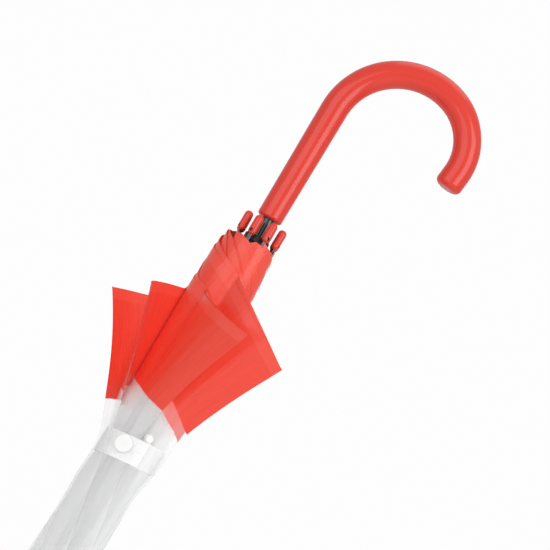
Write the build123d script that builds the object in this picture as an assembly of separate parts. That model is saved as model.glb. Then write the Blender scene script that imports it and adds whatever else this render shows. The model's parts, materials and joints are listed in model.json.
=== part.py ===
from build123d import *

import math
import os

# A closed stick umbrella with a crook handle, standing on its ferrule.
# The origin is the end of the ferrule on the shaft's axis, +Z runs up the shaft to the handle,
# and the crook opens towards +X.  Millimetres and degrees.

# Shaft, ferrule and top cap
SHAFT_RADIUS = 5.0
SHAFT_BORE_RADIUS = 4.2
SHAFT_BOTTOM_Z = 22.0
SHAFT_TOP_Z = 700.0
FERRULE_TIP_RADIUS = 4.5
FERRULE_TIP_LENGTH = 16.0
FERRULE_SHOULDER_RADIUS = 7.0
FERRULE_SHOULDER_Z = 22.0
FERRULE_TOP_RADIUS = 7.6
FERRULE_TOP_Z = 60.0
FERRULE_EDGE = 1.0
TOP_CAP_RADIUS = 12.0
TOP_CAP_TOP_Z = 65.0
TOP_CAP_EDGE = 2.0

# Crook handle: a straight grip that thickens a little, then two bends one after the other
HANDLE_BASE_Z = 672.0
HANDLE_BASE_RADIUS = 10.25
CROOK_RADIUS = 11.0
CROOK_START_Z = 771.0
CROOK_BENDS = [(56.5, 106.7), (46.4, 79.0)]
CROOK_END_LENGTH = 13.5
HOOK_EDGE = 5.0
HANDLE_EDGE = 2.5

# Ribs: each swings on the notch's wire and flexes at its middle
RIB_COUNT = 8
FIRST_RIB_ANGLE = 22.5
NOTCH_PIVOT_RADIUS = 8.2
NOTCH_PIVOT_Z = 73.0
RIB_LENGTH = 597.0
RIB_END_RADIUS = 16.0
RIB_WIDTH = 3.2
RIB_DEPTH = 2.6
RIB_GROOVE_WIDTH = 1.6
RIB_GROOVE_DEPTH = 1.2
RIB_NECK_WIDTH = 2.0
RIB_NECK_LENGTH = 11.0
RIB_EYE_RADIUS = 1.8
RIB_EYE_HOLE_RADIUS = 0.9
RIB_FLEX_AT = 300.0
RIB_OPEN_ANGLE = 66.0
RIB_END_OPEN_ANGLE = 22.0

# The flex knuckle in the middle of a rib
KNUCKLE_RADIUS = 1.3
KNUCKLE_GAP = 2.2
KNUCKLE_EYE_WIDTH = 1.2
KNUCKLE_CHEEK_WIDTH = 0.7
KNUCKLE_PIN_RADIUS = 0.5
KNUCKLE_HOLE_RADIUS = 0.6

# Stretchers: each swings on a bracket under its rib and reaches back to the runner
BRACKET_AT = 255.0
BRACKET_DROP = 3.5
BRACKET_RADIUS = 1.8
BRACKET_INNER_WIDTH = 2.4
BRACKET_OUTER_WIDTH = 4.0
RIVET_RADIUS = 0.6
RIVET_HEAD_RADIUS = 1.1
RIVET_HEAD_WIDTH = 0.5
STRETCHER_WIDTH = 2.2
STRETCHER_DEPTH = 2.0
STRETCHER_NECK_WIDTH = 1.8
STRETCHER_NECK_LENGTH = 10.0
STRETCHER_EYE_RADIUS = 1.4
STRETCHER_HOLE_RADIUS = 0.7
STRETCHER_END_OFFSET = 1.9
STRETCHER_END_RISE = 0.6

# Notch and runner: the two slotted rings that hold the ribs and the stretchers
NOTCH_RADIUS = 11.0
NOTCH_BOTTOM_Z = 66.0
NOTCH_TOP_Z = 82.0
NOTCH_SLOT_BOTTOM_Z = 70.0
NOTCH_SLOT_FLOOR = 6.0
SLOT_WIDTH = 2.6
WIRE_RADIUS = 0.5
WIRE_GROOVE_RADIUS = 0.55
RUNNER_PIVOT_RADIUS = 9.0
RUNNER_PIVOT_Z = 600.0
RUNNER_BORE_RADIUS = 5.3
RUNNER_CROWN_RADIUS = 12.0
RUNNER_CROWN_HEIGHT = 12.0
RUNNER_SLOT_FLOOR = 7.5
RUNNER_SLEEVE_RADIUS = 8.8
RUNNER_TOP_Z = 656.0
RUNNER_RIM_RADIUS = 10.2
RUNNER_RIM_HEIGHT = 6.0
RUNNER_RIM_EDGE = 1.2

# Catches: leaf springs inside the shaft whose noses stand out through windows
CATCH_ANGLE = -45.0
CATCH_NOSE_LENGTH = 9.0
CATCH_NOSE_WIDTH = 1.6
CATCH_NOSE_RADIUS = 7.0
CATCH_NOSE_CREST = 1.5
CATCH_LEAF_INNER = 2.4
CATCH_LEAF_OUTER = 3.4
CATCH_LEAF_WIDTH = 2.4
CATCH_LEAF_TAIL = 26.0
CATCH_LEAF_END = 3.0
CATCH_CLEARANCE = 0.4
KEYWAY_WIDTH = 2.4
KEYWAY_RADIUS = 7.5
WINDOW_MARGIN = 1.5
BOTTOM_CATCH_Z = 628.0
STOP_GAP = 1.0
STOP_HEIGHT = 6.0
STOP_WIDTH = 3.0
STOP_RADIUS = 7.4

# Rib tips
TIP_RADIUS = 3.35
TIP_LENGTH = 17.0
TIP_SOCKET_DEPTH = 9.0
TIP_SOCKET_CLEARANCE = 0.05
TIP_WINDOW_RADIUS = 1.5
TIP_WINDOW_AT = 3.6

# Canopy gores, wrapped round the ribs; each station is (z, inner radius, outer radius, curl)
GORE_THICKNESS = 0.6
GORE_TURN = 100.0
GORE_STATIONS = [
    (67.0, 11.6, 13.6, 1.0),
    (300.0, 13.6, 21.0, 1.0),
    (488.0, 15.8, 22.8, 1.0),
    (575.0, 17.2, 75.0, 1.6),
    (640.0, 18.0, 23.0, 1.0),
]
GORE_STEPS = 6

# Strap, its press snap, and the rivet through the small ear on its upper edge
STRAP_Z = 467.0
STRAP_HEIGHT = 20.0
STRAP_INNER_RADIUS = 24.0
STRAP_THICKNESS = 1.0
STRAP_START_ANGLE = -58.0
STRAP_SWEEP = 352.0
TAB_INNER_RADIUS = 26.1
TAB_THICKNESS = 0.9
TAB_ROOT_ANGLE = -62.0
TAB_SWEEP = -66.0
SNAP_ANGLE = -104.5
SNAP_Z = 468.5
STUD_BASE_RADIUS = 4.0
STUD_BASE_THICKNESS = 0.6
STUD_POST_RADIUS = 2.0
STUD_POST_END = 27.5
SNAP_HOLE_RADIUS = 2.6
SOCKET_RADIUS = 6.8
SOCKET_THICKNESS = 2.0
SOCKET_EDGE = 0.9
SOCKET_RECESS_RADIUS = 2.4
SOCKET_RECESS_DEPTH = 0.9
STRAP_RIVET_ANGLE = -72.0
STRAP_RIVET_Z = 481.0
STRAP_RIVET_RADIUS = 2.9
STRAP_RIVET_HEIGHT = 1.6
STRAP_EAR_RADIUS = 4.4

# Worked out from the driving dimensions
RIB_TILT = math.degrees(math.asin((RIB_END_RADIUS - NOTCH_PIVOT_RADIUS) / RIB_LENGTH))
RIB_ANGLES = [FIRST_RIB_ANGLE + 360.0 / RIB_COUNT * i for i in range(RIB_COUNT)]


def rib_point(distance, drop, angle):
    """A point beside a rib tilted by angle: distance along it, drop towards the shaft."""
    a = math.radians(angle)
    x = NOTCH_PIVOT_RADIUS + distance * math.sin(a) - drop * math.cos(a)
    z = NOTCH_PIVOT_Z + distance * math.cos(a) + drop * math.sin(a)
    return x, z


BRACKET_X, BRACKET_Z = rib_point(BRACKET_AT, BRACKET_DROP, RIB_TILT)
OPEN_BRACKET_X, OPEN_BRACKET_Z = rib_point(BRACKET_AT, BRACKET_DROP, RIB_OPEN_ANGLE)
STRETCHER_LENGTH = math.hypot(RUNNER_PIVOT_RADIUS - BRACKET_X, RUNNER_PIVOT_Z - BRACKET_Z)
OPEN_REACH = OPEN_BRACKET_X - RUNNER_PIVOT_RADIUS
OPEN_RUNNER_Z = OPEN_BRACKET_Z + math.sqrt(STRETCHER_LENGTH**2 - OPEN_REACH**2)
RUNNER_TRAVEL = RUNNER_PIVOT_Z - OPEN_RUNNER_Z
RIB_SWING = RIB_OPEN_ANGLE - RIB_TILT
RIB_FLEX = RIB_OPEN_ANGLE - RIB_END_OPEN_ANGLE
CLOSED_LEAN = math.degrees(math.asin((RUNNER_PIVOT_RADIUS - BRACKET_X) / STRETCHER_LENGTH))
OPEN_LEAN = math.degrees(math.asin(OPEN_REACH / STRETCHER_LENGTH))
STRETCHER_SWING = RIB_SWING + CLOSED_LEAN + OPEN_LEAN
TOP_CATCH_Z = RUNNER_TOP_Z - RUNNER_TRAVEL + 1.0


def block(x_range, y_width, z_range):
    """A box given by its range in x, its width across y and its range in z."""
    x_size = x_range[1] - x_range[0]
    z_size = z_range[1] - z_range[0]
    centre = Pos((x_range[0] + x_range[1]) / 2, 0, (z_range[0] + z_range[1]) / 2)
    return centre * Box(x_size, y_width, z_size)


def disc(radius, z_range):
    """An upright cylinder on the Z axis."""
    height = z_range[1] - z_range[0]
    return Pos(0, 0, (z_range[0] + z_range[1]) / 2) * Cylinder(radius, height)


def pin_across(x, z, radius, width):
    """A cylinder along Y, centred on y = 0."""
    return Pos(x, 0, z) * Rot(90, 0, 0) * Cylinder(radius, width)


def around(shape, angle):
    """The shape turned about the shaft's axis."""
    return Rot(0, 0, angle) * shape


def polar(radius, angle, z):
    a = math.radians(angle)
    return (radius * math.cos(a), radius * math.sin(a), z)


# ---- stick ----

def make_handle():
    grip_height = CROOK_START_Z - HANDLE_BASE_Z
    grip = Cone(HANDLE_BASE_RADIUS, CROOK_RADIUS, grip_height)
    grip = Pos(0, 0, (HANDLE_BASE_Z + CROOK_START_Z) / 2) * grip
    (first_radius, first_turn), (second_radius, second_turn) = CROOK_BENDS
    first = Plane.XZ * JernArc((0, CROOK_START_Z), (0, 1), first_radius, -first_turn)
    start = first @ 1
    tangent = first % 1
    second = JernArc((start.X, start.Z), (tangent.X, tangent.Z), second_radius, -second_turn)
    second = Plane.XZ * second
    last = Line(second @ 1, second @ 1 + (second % 1) * CROOK_END_LENGTH)
    handle = grip
    for path in (first, second, last):
        handle += sweep(Plane(origin=path @ 0, z_dir=path % 0) * Circle(CROOK_RADIUS), path=path)
    rims = handle.edges().filter_by(GeomType.CIRCLE)
    handle = fillet(rims.sort_by(Axis.Z)[0], HANDLE_EDGE)
    rims = handle.edges().filter_by(GeomType.CIRCLE)
    handle = fillet(rims.sort_by_distance(last @ 1)[0], HOOK_EDGE)
    return handle - disc(SHAFT_RADIUS, (HANDLE_BASE_Z - 1, SHAFT_TOP_Z))


def make_shaft():
    shaft = disc(SHAFT_RADIUS, (SHAFT_BOTTOM_Z, SHAFT_TOP_Z))
    shaft -= disc(SHAFT_BORE_RADIUS, (SHAFT_BOTTOM_Z - 1, SHAFT_TOP_Z + 1))
    window_width = CATCH_NOSE_WIDTH + 2 * CATCH_CLEARANCE
    for z in (BOTTOM_CATCH_Z, TOP_CATCH_Z):
        z_range = (z - CATCH_CLEARANCE, z + CATCH_NOSE_LENGTH + CATCH_CLEARANCE)
        shaft -= around(block((2.0, SHAFT_RADIUS + 1), window_width, z_range), CATCH_ANGLE)
    return shaft


def make_ferrule():
    outline = [
        (0, 0),
        (FERRULE_TIP_RADIUS, 0),
        (FERRULE_TIP_RADIUS, FERRULE_TIP_LENGTH),
        (FERRULE_SHOULDER_RADIUS, FERRULE_SHOULDER_Z),
        (FERRULE_TOP_RADIUS, FERRULE_TOP_Z),
        (0, FERRULE_TOP_Z),
    ]
    ferrule = revolve(Plane.XZ * make_face(Polyline(*outline, close=True)), Axis.Z)
    ferrule = fillet(ferrule.edges().sort_by(Axis.Z)[0], FERRULE_EDGE)
    return ferrule - disc(SHAFT_RADIUS, (SHAFT_BOTTOM_Z, FERRULE_TOP_Z + 1))


def make_top_cap():
    cap = disc(TOP_CAP_RADIUS, (FERRULE_TOP_Z, TOP_CAP_TOP_Z))
    cap = fillet(cap.edges().group_by(Axis.Z)[0], TOP_CAP_EDGE)
    return cap - disc(SHAFT_RADIUS, (FERRULE_TOP_Z - 1, TOP_CAP_TOP_Z + 1))


def make_catch(z, blocks_upward):
    """A leaf spring with its nose; the nose's flat side is up or down, its ramp on the other side."""
    z_end = z + CATCH_NOSE_LENGTH
    leaf_range = (z - CATCH_LEAF_TAIL, z_end + CATCH_LEAF_END)
    leaf = block((CATCH_LEAF_INNER, CATCH_LEAF_OUTER), CATCH_LEAF_WIDTH, leaf_range)
    flat_z, ramp_z = (z_end, z) if blocks_upward else (z, z_end)
    crest_z = flat_z + math.copysign(CATCH_NOSE_CREST, ramp_z - flat_z)
    outline = [
        (CATCH_LEAF_OUTER, ramp_z),
        (CATCH_LEAF_OUTER, flat_z),
        (CATCH_NOSE_RADIUS, flat_z),
        (CATCH_NOSE_RADIUS, crest_z),
    ]
    face = Plane.XZ * make_face(Polyline(*outline, close=True))
    return around(leaf + extrude(face, CATCH_NOSE_WIDTH / 2, both=True), CATCH_ANGLE)


def make_stop():
    z = RUNNER_TOP_Z + STOP_GAP
    stop = block((SHAFT_RADIUS - 0.6, STOP_RADIUS), STOP_WIDTH, (z, z + STOP_HEIGHT))
    return around(stop, CATCH_ANGLE) - disc(SHAFT_RADIUS, (z - 1, z + STOP_HEIGHT + 1))


# ---- slotted rings ----

def cut_slots(ring, floor, z_range):
    for angle in RIB_ANGLES:
        ring -= around(block((floor, floor + 9.0), SLOT_WIDTH, z_range), angle)
    return ring


def make_notch():
    notch = disc(NOTCH_RADIUS, (NOTCH_BOTTOM_Z, NOTCH_TOP_Z))
    notch -= disc(SHAFT_RADIUS, (NOTCH_BOTTOM_Z - 1, NOTCH_TOP_Z + 1))
    notch = cut_slots(notch, NOTCH_SLOT_FLOOR, (NOTCH_SLOT_BOTTOM_Z, NOTCH_TOP_Z + 1))
    return notch - Pos(0, 0, NOTCH_PIVOT_Z) * Torus(NOTCH_PIVOT_RADIUS, WIRE_GROOVE_RADIUS)


def make_notch_wire():
    return Pos(0, 0, NOTCH_PIVOT_Z) * Torus(NOTCH_PIVOT_RADIUS, WIRE_RADIUS)


def make_runner():
    half_crown = RUNNER_CROWN_HEIGHT / 2
    crown_range = (RUNNER_PIVOT_Z - half_crown, RUNNER_PIVOT_Z + half_crown)
    rim = disc(RUNNER_RIM_RADIUS, (RUNNER_TOP_Z - RUNNER_RIM_HEIGHT, RUNNER_TOP_Z))
    rim = fillet(rim.edges().filter_by(GeomType.CIRCLE), RUNNER_RIM_EDGE)
    sleeve = disc(RUNNER_SLEEVE_RADIUS, (crown_range[1], RUNNER_TOP_Z))
    runner = disc(RUNNER_CROWN_RADIUS, crown_range) + sleeve + rim
    runner -= disc(RUNNER_BORE_RADIUS, (crown_range[0] - 1, RUNNER_TOP_Z + 1))
    runner = cut_slots(runner, RUNNER_SLOT_FLOOR, (crown_range[0] - 1, crown_range[1] + 1))
    keyway = block((0, KEYWAY_RADIUS), KEYWAY_WIDTH, (crown_range[0] - 1, RUNNER_TOP_Z + 1))
    window_low = BOTTOM_CATCH_Z - WINDOW_MARGIN
    window_range = (window_low, BOTTOM_CATCH_Z + CATCH_NOSE_LENGTH + WINDOW_MARGIN)
    window = block((0, RUNNER_SLEEVE_RADIUS + 1), KEYWAY_WIDTH, window_range)
    runner -= around(keyway + window, CATCH_ANGLE)
    return runner - Pos(0, 0, RUNNER_PIVOT_Z) * Torus(RUNNER_PIVOT_RADIUS, WIRE_GROOVE_RADIUS)


def make_runner_wire():
    return Pos(0, 0, RUNNER_PIVOT_Z) * Torus(RUNNER_PIVOT_RADIUS, WIRE_RADIUS)


# ---- ribs and stretchers, each made along +Z from its pivot, with +X away from the shaft ----

def channel(z_range):
    """The grooved rib section, its groove towards the shaft."""
    half = RIB_DEPTH / 2
    groove_range = (z_range[0] + 2, z_range[1] - 2)
    groove = block((-half - 1, -half + RIB_GROOVE_DEPTH), RIB_GROOVE_WIDTH, groove_range)
    return block((-half, half), RIB_WIDTH, z_range) - groove


def make_rib_inner():
    eye = pin_across(0, 0, RIB_EYE_RADIUS, RIB_NECK_WIDTH)
    neck = block((-RIB_DEPTH / 2, RIB_DEPTH / 2), RIB_NECK_WIDTH, (0, RIB_NECK_LENGTH + 1))
    rib = eye + neck + channel((RIB_NECK_LENGTH, RIB_FLEX_AT - KNUCKLE_GAP))
    rib -= pin_across(0, 0, RIB_EYE_HOLE_RADIUS, RIB_NECK_WIDTH + 1)
    z_range = (BRACKET_AT - BRACKET_RADIUS, BRACKET_AT + BRACKET_RADIUS)
    cheeks = block((-BRACKET_DROP, 0.8), BRACKET_OUTER_WIDTH, z_range)
    cheeks += pin_across(-BRACKET_DROP, BRACKET_AT, BRACKET_RADIUS, BRACKET_OUTER_WIDTH)
    gap_range = (z_range[0] - 1, z_range[1] + 1)
    cheeks -= block((-BRACKET_DROP - 5, 1.0), BRACKET_INNER_WIDTH, gap_range)
    rib += cheeks
    rivet_width = BRACKET_OUTER_WIDTH + 2 * RIVET_HEAD_WIDTH
    rivet = pin_across(-BRACKET_DROP, BRACKET_AT, RIVET_RADIUS, rivet_width)
    heads = pin_across(-BRACKET_DROP, BRACKET_AT, RIVET_HEAD_RADIUS, rivet_width)
    heads -= pin_across(-BRACKET_DROP, BRACKET_AT, RIVET_HEAD_RADIUS + 1, BRACKET_OUTER_WIDTH)
    rib += rivet + heads
    fork_range = (RIB_FLEX_AT - KNUCKLE_GAP, RIB_FLEX_AT)
    fork = block((-KNUCKLE_RADIUS, KNUCKLE_RADIUS), RIB_WIDTH, fork_range)
    fork += pin_across(0, RIB_FLEX_AT, KNUCKLE_RADIUS, RIB_WIDTH)
    fork_gap = RIB_WIDTH - 2 * KNUCKLE_CHEEK_WIDTH
    fork -= block((-2 * KNUCKLE_RADIUS, 2 * KNUCKLE_RADIUS), fork_gap, (fork_range[0], RIB_FLEX_AT + 2))
    return rib + fork + pin_across(0, RIB_FLEX_AT, KNUCKLE_PIN_RADIUS, RIB_WIDTH)


def make_rib_outer():
    bar_start = RIB_FLEX_AT + KNUCKLE_GAP
    bar = channel((bar_start, RIB_LENGTH - TIP_LENGTH + TIP_SOCKET_DEPTH))
    neck = block((-KNUCKLE_RADIUS, KNUCKLE_RADIUS), KNUCKLE_EYE_WIDTH, (RIB_FLEX_AT, bar_start + 1))
    eye = pin_across(0, RIB_FLEX_AT, KNUCKLE_RADIUS, KNUCKLE_EYE_WIDTH)
    hole = pin_across(0, RIB_FLEX_AT, KNUCKLE_HOLE_RADIUS, KNUCKLE_EYE_WIDTH + 1)
    return bar + neck + eye - hole


def make_tip():
    """A capsule over the rib's end, with a window in its outer side through which the rib shows."""
    low = RIB_LENGTH - TIP_LENGTH
    tip = disc(TIP_RADIUS, (low + TIP_RADIUS, RIB_LENGTH - TIP_RADIUS))
    tip += Pos(0, 0, low + TIP_RADIUS) * Sphere(TIP_RADIUS)
    tip += Pos(0, 0, RIB_LENGTH - TIP_RADIUS) * Sphere(TIP_RADIUS)
    half = RIB_DEPTH / 2 + TIP_SOCKET_CLEARANCE
    socket_range = (low - 1, low + TIP_SOCKET_DEPTH + TIP_SOCKET_CLEARANCE)
    tip -= block((-half, half), RIB_WIDTH + 2 * TIP_SOCKET_CLEARANCE, socket_range)
    window = Rot(0, 90, 0) * Cylinder(TIP_WINDOW_RADIUS, 2 * TIP_RADIUS)
    return tip - Pos(TIP_RADIUS, 0, low + TIP_WINDOW_AT) * window


def make_stretcher():
    """Made from its eye on the rib towards the runner, along +Z."""
    end = math.hypot(STRETCHER_LENGTH, STRETCHER_END_OFFSET) + STRETCHER_END_RISE
    neck_half = STRETCHER_DEPTH / 2 - 0.1
    eye = pin_across(0, 0, STRETCHER_EYE_RADIUS, STRETCHER_NECK_WIDTH)
    eye_neck = block((-neck_half, neck_half), STRETCHER_NECK_WIDTH, (0, STRETCHER_NECK_LENGTH))
    bar_range = (STRETCHER_NECK_LENGTH - 5, end - STRETCHER_NECK_LENGTH)
    bar = block((-STRETCHER_DEPTH / 2, STRETCHER_DEPTH / 2), STRETCHER_WIDTH, bar_range)
    runner_neck = block((-neck_half, neck_half), STRETCHER_NECK_WIDTH, (bar_range[1] - 1, end))
    hole = pin_across(0, 0, STRETCHER_HOLE_RADIUS, STRETCHER_NECK_WIDTH + 1)
    return eye + eye_neck + bar + runner_neck - hole


def rib_place(angle):
    return Rot(0, 0, angle) * Pos(NOTCH_PIVOT_RADIUS, 0, NOTCH_PIVOT_Z) * Rot(0, RIB_TILT, 0)


def stretcher_place(angle):
    rise = RUNNER_PIVOT_Z - BRACKET_Z
    lean = math.degrees(math.atan2(RUNNER_PIVOT_RADIUS + STRETCHER_END_OFFSET - BRACKET_X, rise))
    return Rot(0, 0, angle) * Pos(BRACKET_X, 0, BRACKET_Z) * Rot(0, lean, 0)


# ---- canopy and strap ----

def gore_section(station, angle):
    """A thin spiral strip at one height, from beside a rib outwards and round the bundle."""
    z, inner, outer, curl = station
    near = []
    far = []
    for i in range(GORE_STEPS + 1):
        part = i / GORE_STEPS
        radius = inner + (outer - inner) * part**curl
        near.append(polar(radius, angle + GORE_TURN * part, z))
        far.append(polar(radius + GORE_THICKNESS, angle + GORE_TURN * part, z))
    edges = [Spline(*near), Line(near[-1], far[-1]), Spline(*reversed(far)), Line(far[0], near[0])]
    return Face(Wire(edges))


def make_gore(angle):
    return loft([gore_section(station, angle) for station in GORE_STATIONS], ruled=True)


def band(inner_radius, thickness, start, turn):
    """A curved strip of the strap's height, centred on the strap."""
    low = STRAP_Z - STRAP_HEIGHT / 2
    inner = Pos(0, 0, low) * CenterArc((0, 0), inner_radius, start, turn)
    outer = Pos(0, 0, low) * CenterArc((0, 0), inner_radius + thickness, start, turn)
    edges = [inner, Line(inner @ 1, outer @ 1), outer, Line(outer @ 0, inner @ 0)]
    return extrude(Face(Wire(edges)), STRAP_HEIGHT, dir=(0, 0, 1))


def spoke(radius, near, far, z, angle):
    """A cylinder whose axis runs straight out from the shaft."""
    cylinder = Pos((near + far) / 2, 0, z) * Rot(0, 90, 0) * Cylinder(radius, far - near)
    return around(cylinder, angle)


def snap_disc(radius, near, far):
    return spoke(radius, near, far, SNAP_Z, SNAP_ANGLE)


def rivet_disc(radius, near, far):
    return spoke(radius, near, far, STRAP_RIVET_Z, STRAP_RIVET_ANGLE)


def make_strap():
    strap = band(STRAP_INNER_RADIUS, STRAP_THICKNESS, STRAP_START_ANGLE, STRAP_SWEEP)
    face = STRAP_INNER_RADIUS + STRAP_THICKNESS
    ear_range = (STRAP_RIVET_Z - STRAP_EAR_RADIUS - 1, STRAP_RIVET_Z + STRAP_EAR_RADIUS + 1)
    ear = disc(face, ear_range) - disc(STRAP_INNER_RADIUS, (ear_range[0] - 1, ear_range[1] + 1))
    strap += ear & rivet_disc(STRAP_EAR_RADIUS, STRAP_INNER_RADIUS - 2, face + 2)
    return strap


def make_strap_rivet():
    """A round button on the ear's outer face, its edge softened."""
    face = STRAP_INNER_RADIUS + STRAP_THICKNESS
    button = rivet_disc(STRAP_RIVET_RADIUS, face - 0.8, face + STRAP_RIVET_HEIGHT)
    outer_edge = button.edges().filter_by(GeomType.CIRCLE)
    button = fillet(outer_edge.sort_by_distance((0, 0, STRAP_RIVET_Z))[-1], STRAP_RIVET_HEIGHT / 2)
    return button - disc(face, (STRAP_Z - STRAP_HEIGHT, STRAP_Z + 2 * STRAP_HEIGHT))


def make_strap_tab():
    tab = band(TAB_INNER_RADIUS, TAB_THICKNESS, TAB_ROOT_ANGLE, TAB_SWEEP)
    return tab - snap_disc(SNAP_HOLE_RADIUS, TAB_INNER_RADIUS - 2, TAB_INNER_RADIUS + 3)


def make_snap_stud():
    face = STRAP_INNER_RADIUS + STRAP_THICKNESS
    base = snap_disc(STUD_BASE_RADIUS, face - 0.4, face + STUD_BASE_THICKNESS)
    base -= disc(face, (STRAP_Z - STRAP_HEIGHT, STRAP_Z + STRAP_HEIGHT))
    return base + snap_disc(STUD_POST_RADIUS, face + 0.2, STUD_POST_END)


def make_snap_socket():
    face = TAB_INNER_RADIUS + TAB_THICKNESS
    cap = snap_disc(SOCKET_RADIUS, face - 1.2, face + SOCKET_THICKNESS)
    cap_edges = cap.edges().filter_by(GeomType.CIRCLE)
    cap = fillet(cap_edges.sort_by_distance((0, 0, SNAP_Z))[-1], SOCKET_EDGE)
    cap -= disc(face, (STRAP_Z - STRAP_HEIGHT, STRAP_Z + STRAP_HEIGHT))
    return cap - snap_disc(SOCKET_RECESS_RADIUS, face - 1, face + SOCKET_RECESS_DEPTH)


# ---- output ----

def make_parts():
    """Every piece in its closed position, by name."""
    parts = {
        "handle": make_handle(),
        "shaft": make_shaft(),
        "ferrule": make_ferrule(),
        "top_cap": make_top_cap(),
        "notch": make_notch(),
        "notch_wire": make_notch_wire(),
        "runner": make_runner(),
        "runner_wire": make_runner_wire(),
        "bottom_catch": make_catch(BOTTOM_CATCH_Z, True),
        "top_catch": make_catch(TOP_CATCH_Z, False),
        "stop": make_stop(),
        "strap": make_strap(),
        "strap_tab": make_strap_tab(),
        "strap_rivet": make_strap_rivet(),
        "snap_stud": make_snap_stud(),
        "snap_socket": make_snap_socket(),
    }
    rib_inner = make_rib_inner()
    rib_outer = make_rib_outer()
    tip = make_tip()
    stretcher = make_stretcher()
    for number, angle in enumerate(RIB_ANGLES, start=1):
        parts[f"rib_inner_{number}"] = rib_place(angle) * rib_inner
        parts[f"rib_outer_{number}"] = rib_place(angle) * rib_outer
        parts[f"rib_tip_{number}"] = rib_place(angle) * tip
        parts[f"stretcher_{number}"] = stretcher_place(angle) * stretcher
        parts[f"gore_{number}"] = make_gore(angle)
    return parts


def main():
    os.makedirs("parts", exist_ok=True)
    for name, shape in make_parts().items():
        export_step(shape, f"parts/{name}.step")
    print(f"runner travel {RUNNER_TRAVEL:.2f}, rib swing {RIB_SWING:.2f}, rib flex {RIB_FLEX:.2f}")
    print(f"stretcher swing {STRETCHER_SWING:.2f}, length {STRETCHER_LENGTH:.2f}")


if __name__ == "__main__":
    main()
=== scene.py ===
import json
import math

import bpy
import numpy as np
from mathutils import Matrix, Vector

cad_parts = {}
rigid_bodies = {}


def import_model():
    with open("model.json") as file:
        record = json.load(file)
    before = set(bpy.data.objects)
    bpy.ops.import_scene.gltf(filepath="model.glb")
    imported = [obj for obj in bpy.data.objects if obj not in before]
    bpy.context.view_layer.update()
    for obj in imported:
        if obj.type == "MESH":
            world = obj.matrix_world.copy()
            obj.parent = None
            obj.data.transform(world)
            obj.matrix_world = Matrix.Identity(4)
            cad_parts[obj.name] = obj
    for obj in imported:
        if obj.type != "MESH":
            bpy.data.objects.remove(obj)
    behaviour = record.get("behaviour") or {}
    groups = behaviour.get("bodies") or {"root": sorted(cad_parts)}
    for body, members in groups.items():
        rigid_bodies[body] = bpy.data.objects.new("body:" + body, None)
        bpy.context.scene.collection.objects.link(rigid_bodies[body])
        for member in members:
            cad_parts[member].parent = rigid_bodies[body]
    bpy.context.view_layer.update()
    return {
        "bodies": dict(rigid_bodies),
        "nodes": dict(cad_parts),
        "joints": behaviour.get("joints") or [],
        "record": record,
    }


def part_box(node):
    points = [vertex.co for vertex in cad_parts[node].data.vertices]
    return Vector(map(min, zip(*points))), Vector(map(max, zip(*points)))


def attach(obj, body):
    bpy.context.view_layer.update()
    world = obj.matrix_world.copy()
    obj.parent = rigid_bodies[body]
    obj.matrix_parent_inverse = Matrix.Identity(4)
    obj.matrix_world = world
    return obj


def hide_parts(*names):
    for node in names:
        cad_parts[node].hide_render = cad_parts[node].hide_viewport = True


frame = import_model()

# A closed clear bubble umbrella with a red hem band. Metres, in the CAD model's frame: the origin is the
# end of the ferrule and +Z runs up the shaft. Every piece that unfolds holds its open shape as well, and
# goes over to it as the runner slides.

MM = 0.001
record = frame["record"]
joints = {j["name"]: j for j in frame["joints"]}
ratios = {c["joint"]: c["ratio"] for c in record["behaviour"]["couplings"]}

# ---- places read from the frame ----

RIB_COUNT = 8
RUNNER_TRAVEL = joints["runner_slide"]["range_m"][1]
RIB_SWING = ratios["rib_swing_1"] * RUNNER_TRAVEL
RIB_FLEX = ratios["rib_flex_1"] * RUNNER_TRAVEL


def radial_height(point):
    """A point as its distance from the shaft's axis and its height."""
    return np.array([math.hypot(point[0], point[1]), point[2]])


RIB_ROOT = radial_height(joints["rib_swing_1"]["pos_m"])
RIB_KNUCKLE = radial_height(joints["rib_flex_1"]["pos_m"])
FLEX_AT = float(np.linalg.norm(RIB_KNUCKLE - RIB_ROOT))
RIB_ALONG = (RIB_KNUCKLE - RIB_ROOT) / FLEX_AT
RIB_OUT = np.array([RIB_ALONG[1], -RIB_ALONG[0]])
BRACKET = radial_height(joints["stretcher_swing_1"]["pos_m"]) - RIB_ROOT
BRACKET_AT = float(BRACKET @ RIB_ALONG)
BRACKET_DROP = float(-BRACKET @ RIB_OUT)
RIB_LENGTH = (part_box("rib_tip_1")[1].z - RIB_ROOT[1]) / RIB_ALONG[1]
FIRST_ANGLE = math.atan2(joints["rib_swing_1"]["pos_m"][1], joints["rib_swing_1"]["pos_m"][0])
RIB_ANGLES = [FIRST_ANGLE + 2 * math.pi * i / RIB_COUNT for i in range(RIB_COUNT)]
NEXT_RIB = 2 * math.pi / RIB_COUNT
NOTCH_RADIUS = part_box("notch")[1].x
SHAFT_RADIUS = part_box("shaft")[1].x
CAP_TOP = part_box("top_cap")[1].z
STRAP_RIB = 6
STRAP_RADIUS = (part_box("strap")[1].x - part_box("strap")[0].x) / 2 - 0.5 * MM
STRAP_LOW, STRAP_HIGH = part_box("strap_tab")
STRAP_MIDDLE = (STRAP_LOW + STRAP_HIGH) / 2
STRAP_HEIGHT = STRAP_HIGH.z - STRAP_LOW.z
STRAP_HINGE = joints["strap_tab_peel"]["pos_m"]


def turn_about(point, axis, angle):
    place = Matrix.Translation(Vector(point))
    return place @ Matrix.Rotation(angle, 4, Vector(axis)) @ place.inverted()


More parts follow.
